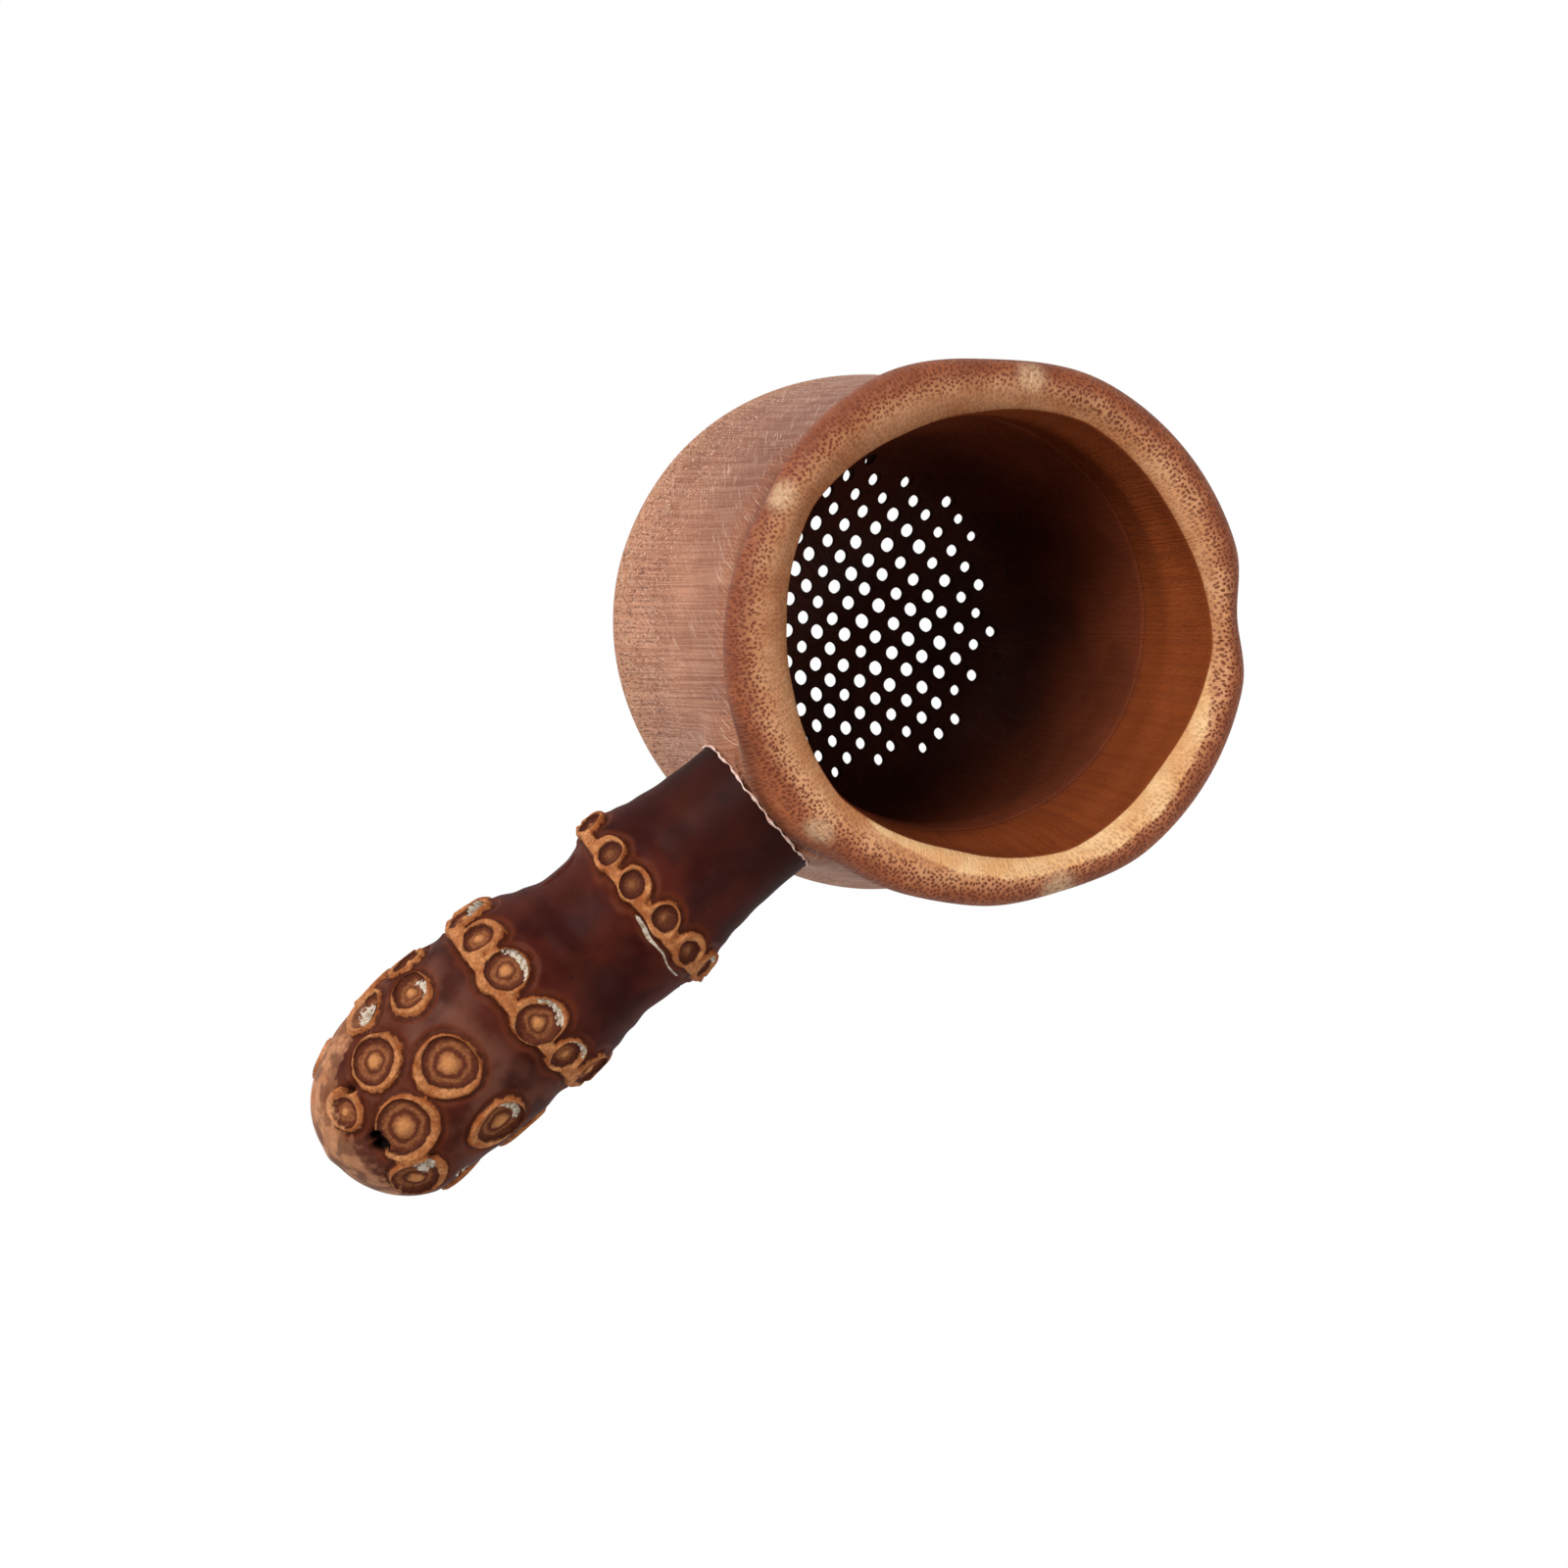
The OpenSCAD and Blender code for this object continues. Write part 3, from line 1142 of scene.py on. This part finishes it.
def bundles_group():
    """Cut fibre bundles, Spacing mm apart: a dot's radius is Size times the spacing."""
    group, put, amount = new_group("bundles", Spacing=1.0, Size=0.2)
    wobble = node(group, "TexNoise", {"Vector": put["Place"], "Scale": 0.5, "Detail": 1}).outputs[1]
    centred = node(group, "VectorMath", {0: wobble, 1: (0.5, 0.5, 0.5)},
                   operation="SUBTRACT").outputs[0]
    shaken = node(group, "VectorMath", {0: centred, 1: (0.9, 0.9, 0), 2: put["Place"]},
                  operation="MULTIPLY_ADD").outputs[0]
    scale = sum_of(group, "DIVIDE", 1.0, put["Spacing"])
    cells = node(group, "TexVoronoi", {"Vector": shaken, "Scale": scale, "Randomness": 0.8},
                 voronoi_dimensions="2D")
    outer = sum_of(group, "ADD", put["Size"], 0.15)
    dot = fade(group, cells.outputs["Distance"], put["Size"], outer, 1.0, 0.0)
    group.links.new(dot, amount)
    return group


def mottle_group():
    """Slow change of tone: Size in mm."""
    group, put, amount = new_group("mottle", Size=6.0, Low=0.35, High=0.65)
    scale = sum_of(group, "DIVIDE", 1.0, put["Size"])
    noise = node(group, "TexNoise", {"Vector": put["Place"], "Scale": scale, "Detail": 4})
    group.links.new(fade(group, noise.outputs[0], put["Low"], put["High"]), amount)
    return group


FIBRES = fibres_group()
BUNDLES = bundles_group()
MOTTLE = mottle_group()


def mottle(tree, place, size, low=0.35, high=0.65):
    """Slow change of tone in patches of a size in mm: closer limits make harder edges."""
    return use(tree, MOTTLE, Place=place, Size=size, Low=low, High=high)


print("node groups:", [group.name for group in bpy.data.node_groups])

# %% [markdown]
# ### The cup's bamboo
#
# The cup has four tones: the sanded wall, the oiled lip, the pale scraped edge
# of the mouth, and the dark hollow, which grows darker the deeper it goes, partly
# from tea stain and partly as painted shade. Which skin is hollow can't be told
# from a place alone, since the floor is thin, so it is marked on the mesh first.

# %% Mark the hollow and the lip
DISH_TOP = 22 * MM
HOLLOW_TOP = CUP_H - 2.2 * MM
CROWN_R = 28.6 * MM
SCRAPED_R = 25.6 * MM
FILED_SPOTS = [(289, 29.8, 2.6), (8, 31.0, 2.6), (66, 30.8, 3.0), (222, 29.6, 2.6)]
FILED_Z = 58.6


def in_hollow(place, normal):
    """Above 0 on the bore, the cavity and the upper face of the floor, below 0 elsewhere."""
    radius = off_axis(place)
    if place.z < DISH_TOP:
        on_floor = radius < FOOT_IN_R + 0.4 * MM and place.z > DISH_Z - 0.5 * MM
        return 1.0 if on_floor and normal.z > 0.12 else -1.0
    return max(-1.0, min(1.0, (HOLLOW_TOP - place.z) / MM)) if radius < CROWN_R else -1.0


def scraped_edge(place):
    """How far a place lies inside the knife's pale facet round the mouth, in mm."""
    degrees = degrees_round(place)
    wider = 3.3 * near_turn(75, 100, degrees)
    corner = max(near_turn(turn, 16, degrees) for turn in CORNERS)
    return wider - 0.3 * corner - (off_axis(place - MOUTH_OFF) - SCRAPED_R) / MM


def above_wall(place):
    """How far a place lies above the line where the wall ends and the lip begins, in mm."""
    return (place.z - LIP_Z) / MM - 2.4 * near_turn(350, 50, degrees_round(place))


def filed_flat_and_sheen(place):
    """1 on the small flats that the file left on the lip, given in degrees and mm: paler fresh wood
    with a painted sheen.
    """
    best = 0
    for degrees, radius, size in FILED_SPOTS:
        angle = math.radians(degrees)
        spot = Vector((math.cos(angle) * radius, math.sin(angle) * radius, FILED_Z)) * MM
        best = max(best, 1 - ease(0.3 * size * MM, size * MM, (place - spot).length))
    return best


RULES = {"lip": above_wall, "filed": filed_flat_and_sheen, "scraped": scraped_edge}

for name, rule in RULES.items():
    keep(cup, name, at_each(cup, rule))
keep(cup, "hollow", [in_hollow(vertex.co, vertex.normal) for vertex in cup.data.vertices])
print("kept on the cup: hollow,", ", ".join(RULES))

# %% [markdown]
# ### The cup's colours
#
# Sanding wore the wall pale and left fine scratches over the grain, and oil
# darkened the lip. The hollow is darker from tea stain and from painted shade of
# its depth, and a band of painted shade on the wall and a painted shadow under the
# lip are laid in as well. Each could be a painted picture, but plain colours laid
# over one another by masks stay sharp from close by, and they follow the mesh
# when a size is changed.

# %% Colours of wall, lip and hollow
def wall_colour(tree, place, at, marks):
    """Sanded wall: dark towards the lip and on the far side, a band of painted shade high on the two
    sides square to the handle, and pale scratches over dark grain.
    """
    slow = mottle(tree, place, 8.0)
    # painted shade: a darker band high on the wall, on the two sides square to the handle
    painted_shade_band = times(tree, fade(tree, at["x"], -16, -4), fade(tree, at["x"], 6, 20, 0.7, 0.0))
    low = fade(tree, at["height"], 18, 42, 1.0, 0.15)
    patches = mottle(tree, place, 6.0, 0.42, 0.6)
    seen = fade(tree, patches, 0.0, 1.0, 0.3, 0.85)
    return coats(tree, mix(tree, slow, (186, 122, 90), (206, 142, 108)),
                 (fade(tree, at["x"], -2, 24, 0.68, 0.0), (134, 74, 48)),
                 (fade(tree, at["height"], 32, 50, 0.0, 0.6), (146, 82, 54)),
                 # the band of painted shade, in a dark brown
                 (times(tree, painted_shade_band, fade(tree, at["height"], 26, 42)), (112, 52, 28)),
                 (times(tree, marks["broad"], 0.25), (206, 150, 116)),
                 (times(tree, marks["fine"], 0.5), (122, 64, 42)),
                 (fade(tree, at["height"], 6, 20, 0.55, 0.0), (220, 158, 116)),
                 (times(tree, marks["specks"], low), (116, 60, 38)),
                 (times(tree, marks["grit"], low), (246, 200, 166)),
                 (times(tree, marks["scratches"], seen), (244, 206, 180)))


def lip_colour(tree, place, at, marks):
    """Oiled lip: tan crown, redder flank, pale where scraped, and cut bundles all over."""
    slow = mottle(tree, place, 5.0, 0.3, 0.7)
    crown = mix(tree, slow, (202, 134, 86), (228, 168, 120))
    flank = mix(tree, slow, (146, 76, 43), (173, 97, 58))
    scraped = mix(tree, slow, (234, 170, 112), (252, 206, 150))
    edge = plus(tree, kept(tree, "scraped"), times(tree, slow, 0.4))
    knife = fade(tree, edge, 0.1, 0.6)
    dots = times(tree, marks["dots"], fade(tree, at["radius"], 27.4, 29.6, 0.22, 0.95))
    dots = times(tree, dots, fade(tree, knife, 0.0, 1.0, 1.0, 0.4))
    dots = times(tree, dots, fade(tree, at["radius"], 31.2, 32.4, 1.0, 0.45))
    rough = mottle(tree, place, 0.5, 0.3, 0.6)
    return coats(tree, crown,
                 (fade(tree, at["radius"], 28.8, 31.2), flank),
                 (fade(tree, at["y"], -26, 6, 0.45, 0.0), (122, 60, 32)),
                 (knife, scraped),
                 (dots, (118, 54, 28)),
                 # the filed flats: paler fresh wood with a painted sheen
                 (times(tree, kept(tree, "filed"), fade(tree, rough, 0.0, 1.0, 0.25, 0.7)),
                  (232, 192, 150)))


def hollow_colour(tree, place, at, marks):
    """Bare wood of the boring, a darker cavity and a dark dish: darker towards the floor, partly from
    tea stain and partly as painted shade of the deep hollow.
    """
    slow = mottle(tree, place, 10.0)
    bore = coats(tree, mix(tree, slow, (134, 62, 26), (150, 72, 32)),
                 (times(tree, marks["fine"], 0.2), (92, 40, 18)),
                 (times(tree, marks["broad"], 0.25), (168, 86, 40)))
    pits = mottle(tree, place, 1.3, 0.62, 0.7)
    # darker towards the floor: partly tea stain, partly painted shade of the deep hollow
    return coats(tree, mix(tree, slow, (58, 24, 14), (76, 32, 18)),
                 (times(tree, pits, 0.6), (26, 12, 8)),
                 (fade(tree, at["height"], 14, 34), mix(tree, slow, (108, 50, 27), (126, 60, 34))),
                 (fade(tree, at["height"], 39.2, 41.4), bore))


print("three colours of the cup ready")

# %% [markdown]
# ### One bamboo for the cup
#
# Wall, lip and hollow are one piece of bamboo, so they share one material. The
# attributes say where each begins, and the same streaks that colour the wall
# also roughen it a little.

# %% Culm bamboo
def culm_marks(tree, place, at):
    """The marks of grain and of work on the cup, each from 0 to 1."""
    outward = node(tree, "VectorMath", {0: at["flat"]}, operation="NORMALIZE").outputs["Vector"]
    up = node(tree, "CombineXYZ", {2: at["height"]}).outputs[0]
    skin = node(tree, "VectorMath", {0: outward, 1: (33, 33, 0), 2: up},
                operation="MULTIPLY_ADD").outputs["Vector"]

    def streaks(width, length, low, high, where=skin, twist=0.0):
        return use(tree, FIBRES, Place=where, Width=width, Length=length, Twist=twist,
                   Low=low, High=high)

    sanding = streaks(0.14, 4.5, 0.59, 0.66, twist=-0.0155)
    crossing = streaks(0.13, 3.2, 0.6, 0.67, twist=-0.024)
    return {"fine": streaks(0.26, 30.0, 0.38, 0.62),
            "broad": streaks(1.0, 40.0, 0.35, 0.65),
            "dots": use(tree, BUNDLES, Place=place, Spacing=0.5, Size=0.27),
            "specks": streaks(0.35, 1.2, 0.53, 0.63),
            "grit": streaks(0.3, 0.9, 0.58, 0.68, where=place),
            "scratches": sum_of(tree, "MAXIMUM", sanding, crossing)}


def culm_bamboo():
    """Sanded, lightly oiled bamboo, its hollow darkened by tea stain and painted shade, with painted
    shade on the wall and a painted shadow under the lip.
    """
    material, tree, shader, place = new_material("culm_bamboo")
    x, y, height = node(tree, "SeparateXYZ", {0: place}).outputs
    flat = node(tree, "CombineXYZ", {0: x, 1: y}).outputs[0]
    from_axis = node(tree, "VectorMath", {0: flat}, operation="LENGTH").outputs["Value"]
    wander = mottle(tree, place, 1.6, 0.2, 0.8)
    at = {"x": x, "y": y, "height": height, "flat": flat,
          "radius": plus(tree, from_axis, wander)}
    marks = culm_marks(tree, place, at)

    above = kept(tree, "lip")
    # painted shadow: a dark line just below the lip, where it overhangs the wall
    shadow_under_lip = times(tree, fade(tree, above, -1.8, 0.0), fade(tree, above, 0.3, 2.2, 0.6, 0.0))
    hollow = fade(tree, kept(tree, "hollow"), -0.12, 0.12)
    outside = minus(tree, 1.0, hollow)
    colour = coats(tree, wall_colour(tree, place, at, marks),
                   (fade(tree, above, -0.6, 0.6), lip_colour(tree, place, at, marks)),
                   # the painted shadow under the lip
                   (shadow_under_lip, (92, 40, 20)),
                   (times(tree, fade(tree, height, 0.6, 14, 0.35, 0.0), outside), (150, 96, 66)),
                   (hollow, hollow_colour(tree, place, at, marks)))
    grain = plus(tree, times(tree, marks["fine"], 0.6), times(tree, marks["dots"], 0.5))
    relief = minus(tree, times(tree, marks["scratches"], 0.7), grain)
    plug(tree, shader, {"Base Color": colour, "Specular IOR Level": 0.3,
                        "Roughness": fade(tree, marks["fine"], 0.0, 1.0, 0.44, 0.6),
                        "Normal": fine_relief(tree, relief, 0.6, 0.12)})
    return material


dress(cup, culm_bamboo())
print("cup dressed")

# %% [markdown]
# ### The rhizome
#
# The rhizome keeps its own skin, a dark red brown with little shine. Where a
# rootlet was cut off, the skin ends in a tan rim, and the middle is brown with fine
# rings, like a tiny stump. All of that follows the numbers kept on the mesh.

# %% Colours of skin, rim and stump
def skin_colour(tree, place, edge):
    """Dark red skin: dust and a painted sheen past the second node, painted shade by the cup, browner
    round the scars.
    """
    along = kept(tree, "along")
    slow = mottle(tree, place, 7.0)
    patch = mottle(tree, place, 2.2, 0.3, 0.7)
    specks = mottle(tree, place, 0.9, 0.66, 0.74)
    # dust and painted sheen: a lighter, greyish coat in patches past the second node
    sheen_and_dust_patches = mottle(tree, place, 4.5, 0.25, 0.75)
    dust_and_sheen = times(tree, fade(tree, along, 36, 41), fade(tree, along, 44, 54, 1.0, 0.5))
    dust_and_sheen = times(tree, dust_and_sheen, fade(tree, sheen_and_dust_patches, 0.0, 1.0, 0.05, 0.7))
    line = times(tree, fade(tree, edge, 0.0, 0.2), fade(tree, edge, 0.25, 0.6, 0.5, 0.0))
    return coats(tree, mix(tree, slow, (50, 13, 8), (80, 30, 20)),
                 (times(tree, patch, 0.3), (62, 26, 22)),
                 (times(tree, specks, 0.5), (32, 12, 10)),
                 (dust_and_sheen, (120, 74, 58)),
                 # painted shade: the skin darkens towards the cup, where the neck meets it
                 (fade(tree, along, 0, 13, 0.6, 0.0), (24, 7, 5)),
                 (fade(tree, edge, 0.2, 1.3, 0.6, 0.0), (112, 52, 28)),
                 (line, (46, 18, 12)))


def tan_colour(tree, place, fleck):
    """The tan, corky wood of the rims and of the worn tip."""
    patch = mottle(tree, place, 2.0, 0.3, 0.7)
    return coats(tree, mix(tree, patch, (162, 92, 50), (206, 140, 88)),
                 (times(tree, fleck, 0.4), (132, 72, 42)))


def stump_colour(tree, inner, fleck, ragged):
    """The cut rootlet: soft rings and a tan dot in the middle, darker on the first node."""
    along = kept(tree, "along")
    rings = node(tree, "Math", {0: times(tree, inner, 6.0)}, operation="SINE").outputs[0]
    shaggy = plus(tree, kept(tree, "core"), times(tree, ragged, 0.12))
    dot = fade(tree, shaggy, 0.28, 0.56, 0.9, 0.0)
    heart = times(tree, dot, fade(tree, along, 18, 28, 0.3, 1.0))
    return coats(tree, mix(tree, fade(tree, rings, -0.9, 1.0), (100, 50, 32), (146, 88, 54)),
                 (times(tree, fleck, 0.35), (76, 36, 26)),
                 (fade(tree, along, 18, 28, 0.55, 0.0), (80, 38, 27)),
                 (heart, (206, 138, 84)))


def dry_pith(tree, fleck):
    """1 where dried pith shows: round the scars, in the dry pits and in the slit."""
    flecked = minus(tree, kept(tree, "pith"), times(tree, fleck, 0.3))
    off = sum_of(tree, "ABSOLUTE", kept(tree, "slit_off"))
    slit = minus(tree, off, kept(tree, "slit_half"))
    open_slit = fade(tree, slit, 0.0, 0.1, 1.0, 0.0)
    return sum_of(tree, "MAXIMUM", fade(tree, flecked, 0.25, 0.5), open_slit)


print("colours of the rhizome ready")

# %% [markdown]
# ### One bamboo for the handle
#
# The rim is laid first, then the skin beside it and the stump inside it, and
# last what age did: the worn tip, the dried pith and the worm holes, which are
# painted dark inside as shade, darker the deeper they go. The edges are shaken a
# little by the mottle, so that no scar looks drawn with a compass.

# %% Rhizome bamboo
def rhizome_bamboo():
    """Dark skin, tan rims, ringed stumps, dried pith and worn tip."""
    material, tree, shader, place = new_material("rhizome_bamboo")
    ragged = mottle(tree, place, 0.9, 0.2, 0.8)
    fleck = mottle(tree, place, 0.4, 0.45, 0.6)
    wobble = times(tree, minus(tree, ragged, 0.5), 0.26)
    edge = plus(tree, kept(tree, "rim"), wobble)
    inner = plus(tree, kept(tree, "stump"), wobble)

    tan = tan_colour(tree, place, fleck)
    rim = mix(tree, fade(tree, edge, -0.4, 0.0, 0.0, 0.55), tan, (158, 84, 40))
    groove = times(tree, fade(tree, inner, -0.3, -0.05), fade(tree, inner, 0.0, 0.25, 0.85, 0.0))
    worn = fade(tree, plus(tree, kept(tree, "worn"), times(tree, ragged, 2.0)), 0.5, 2.0)
    blotch = mottle(tree, place, 2.6, 0.4, 0.6)
    pith = dry_pith(tree, fleck)
    colour = coats(tree, rim,
                   (fade(tree, edge, 0.0, 0.16), skin_colour(tree, place, edge)),
                   (fade(tree, inner, -0.1, 0.1, 1.0, 0.0), stump_colour(tree, inner, fleck, ragged)),
                   (groove, (62, 26, 18)),
                   (times(tree, worn, fade(tree, blotch, 0.0, 1.0, 0.85, 0.3)),
                    mix(tree, 0.4, tan, (222, 164, 126))),
                   (pith, mix(tree, fleck, (216, 202, 184), (168, 146, 122))),
                   # painted shade: the worm holes darken to near black, the more the deeper they go
                   (fade(tree, kept(tree, "hollow"), 0.12, 0.45), (18, 8, 6)))
    cut_face = fade(tree, edge, -0.1, 0.2, 1.0, 0.0)
    dull = plus(tree, fade(tree, cut_face, 0.0, 1.0, 0.5, 0.62), times(tree, pith, 0.3))
    sunk = fade(tree, inner, -2.0, 0.0, 0.5, 0.0)
    relief = plus(tree, times(tree, fleck, cut_face), sunk)
    plug(tree, shader, {"Base Color": colour, "Roughness": dull, "Specular IOR Level": 0.06,
                        "Normal": fine_relief(tree, relief, 0.5, 0.15)})
    return material


dress(handle, rhizome_bamboo())
print("handle dressed")

# %% [markdown]
# ### Glue and dowel
#
# Dried wood glue is a pale, slightly pink skin. The dowel is split bamboo, straw
# coloured and straight grained.

# %% Dried glue and dowel bamboo
def dried_glue():
    """Pale and slightly pink."""
    material, tree, shader, place = new_material("dried_glue")
    cloudy = mottle(tree, place, 0.8)
    colour = mix(tree, cloudy, (206, 160, 142), (236, 204, 190))
    plug(tree, shader, {"Base Color": colour, "Roughness": 0.4,
                        "Normal": fine_relief(tree, cloudy, 0.3, 0.05)})
    return material


def dowel_bamboo():
    """Split bamboo with straight fibres along the handle."""
    material, tree, shader, place = new_material("dowel_bamboo")
    back = (0, -(math.pi / 2 + DROOP), 0)
    laid = node(tree, "Mapping", {"Vector": place, "Rotation": back}).outputs[0]
    grain = use(tree, FIBRES, Place=laid, Width=0.25, Length=12.0)
    colour = mix(tree, grain, (214, 178, 128), (176, 132, 84))
    plug(tree, shader, {"Base Color": colour, "Roughness": 0.6})
    return material


glue = dried_glue()
dress(glue_bead, glue)
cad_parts["glue_seam"].material_slots[0].material = glue
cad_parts["handle_dowel"].material_slots[0].material = dowel_bamboo()
print("materials:", sorted(m.name for m in bpy.data.materials))

# %% [markdown]
# ## Floor and light
#
# The strainer stands on a white table that glows a little, as under a
# product lamp, so that the holes of the floor read white from above. Light
# Path lets only the eye see the glow, so that it doesn't light the strainer from
# below. Two large soft lamps and a pale sky do that.

# %% White table
TABLE_GLOW = 0.99


def white_table():
    """A wide white floor, glowing only to the eye."""
    put_down()
    bpy.ops.mesh.primitive_plane_add(size=6, location=(0, 0, 0))
    table = bpy.context.object
    table.name = "table"
    material = bpy.data.materials.new("white_table")
    material.use_nodes = True
    tree = material.node_tree
    tree.nodes.clear()
    paper = node(tree, "BsdfDiffuse", {"Color": (0.8, 0.8, 0.8, 1)}).outputs[0]
    shine = node(tree, "Emission", {"Color": (1, 1, 1, 1), "Strength": 1.0}).outputs[0]
    seen = node(tree, "LightPath").outputs["Is Camera Ray"]
    glow = times(tree, seen, TABLE_GLOW)
    both = node(tree, "MixShader", {0: glow, 1: paper, 2: shine}).outputs[0]
    end = node(tree, "OutputMaterial")
    tree.links.new(both, end.inputs["Surface"])
    dress(table, material)
    return table


table = white_table()
print("table:", round(table.dimensions.x), "m across")

# %% [markdown]
# ### Soft lamps
#
# Things for sale are lit by large soft boxes, and a square area lamp is one. The
# key stands to the upper left of the view and the fill to the lower right.
# Both are placed from the camera's view.

# %% Key, fill and sky
SKY_GLOW = 0.3


def soft_lamp(name, place, size, power):
    """A square area lamp at a place in metres, aimed at the strainer."""
    data = bpy.data.lights.new(name, "AREA")
    data.shape = "SQUARE"
    data.size = size
    data.energy = power
    lamp = bpy.data.objects.new(name, data)
    bpy.context.scene.collection.objects.link(lamp)
    lamp.location = place
    lamp.rotation_euler = (AIM - lamp.location).to_track_quat("-Z", "Y").to_euler()
    return lamp


def from_view(right, up, near):
    """A place given from the camera's view: metres right, up and toward the camera from AIM."""
    turn = camera.rotation_euler.to_matrix()
    return AIM + turn @ Vector((right, up, near))


key = soft_lamp("key", from_view(-0.42, 0.38, 0.65), 0.45, 6.5)
fill = soft_lamp("fill", from_view(0.7, -0.3, 0.6), 0.7, 3.5)

sky = bpy.data.worlds.new("sky")
sky.use_nodes = True
backdrop = sky.node_tree.nodes["Background"].inputs
backdrop["Color"].default_value = (1, 1, 1, 1)
backdrop["Strength"].default_value = SKY_GLOW
bpy.context.scene.world = sky
bpy.context.scene.view_settings.view_transform = "Standard"
print("lamps:", key.name, fill.name)

# %% The end
print("the end")
